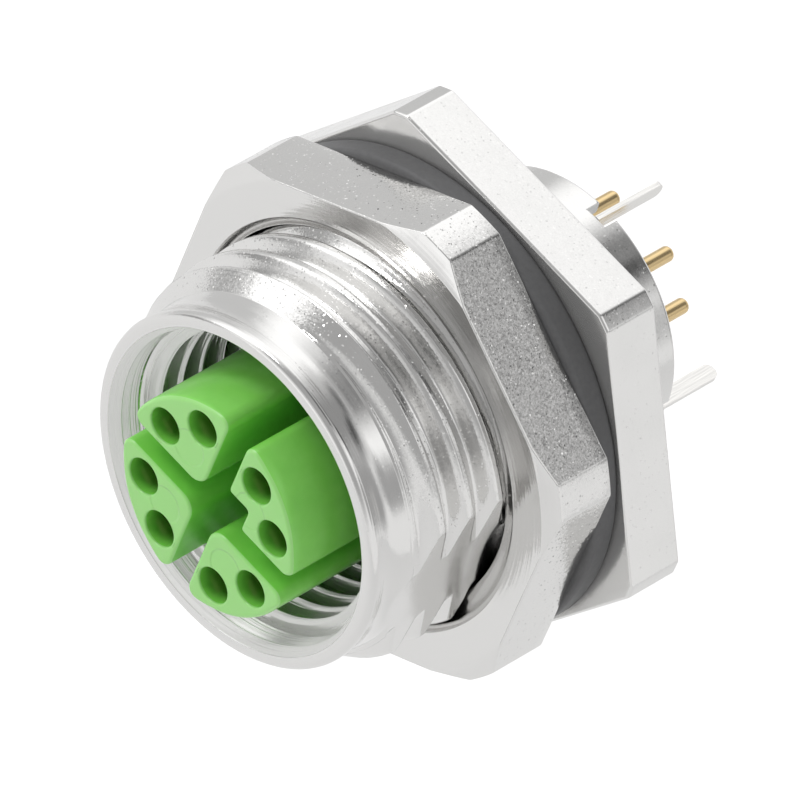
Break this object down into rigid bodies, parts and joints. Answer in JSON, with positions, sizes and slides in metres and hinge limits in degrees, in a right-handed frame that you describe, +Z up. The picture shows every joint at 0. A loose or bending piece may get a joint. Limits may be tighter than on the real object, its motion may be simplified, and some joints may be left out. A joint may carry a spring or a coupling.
{
  "type": "circular panel connector",
  "caption": "Threaded circular panel socket with a hexagonal flange, lock nut and seal, a lobed green insert, crossed shield plates and straight board pins.",
  "frame": {"origin": "on the connector's axis, at the flange's front face, which clamps the seal on the panel", "axes": "-Y out of the mouth, +Y towards the board pins, +X to the right and +Z up as seen from the mouth"},
  "size_m": [0.0216, 0.0206, 0.02],
  "materials": {
    "nickel_shell": "satin nickel plate",
    "green_moulding": "glossy moulded",
    "seal_rubber": "matt",
    "gold_contact": "gold plated",
    "shield_sheet": "tinned sheet"
  },
  "bodies": {
    "connector": {"housing": "nickel_shell", "contact_carrier": "green_moulding", "carrier_ring": "seal_rubber", "rear_insulator": "green_moulding", "shield_plate_level": "shield_sheet", "shield_plate_upright": "shield_sheet", "contact_1": "gold_contact", "contact_2": "gold_contact", "contact_3": "gold_contact", "contact_4": "gold_contact", "contact_5": "gold_contact", "contact_6": "gold_contact", "contact_7": "gold_contact", "contact_8": "gold_contact"},
    "seal": {"flange_seal": "seal_rubber"},
    "nut": {"panel_nut": "nickel_shell"}
  },
  "joints": [
    {"name": "seal_slide", "type": "slide", "parent": "connector", "child": "seal", "axis": [0, -1, 0], "range_m": [0, 0.00494]},
    {"name": "nut_turn", "type": "hinge", "parent": "seal", "child": "nut", "pos_m": [0, 0, 0], "axis": [0, -1, 0], "range_deg": [0, 1260]}
  ],
  "couplings": [
    {"joint": "seal_slide", "follows": "nut_turn", "m_per_rad": 0.00022457}
  ]
}
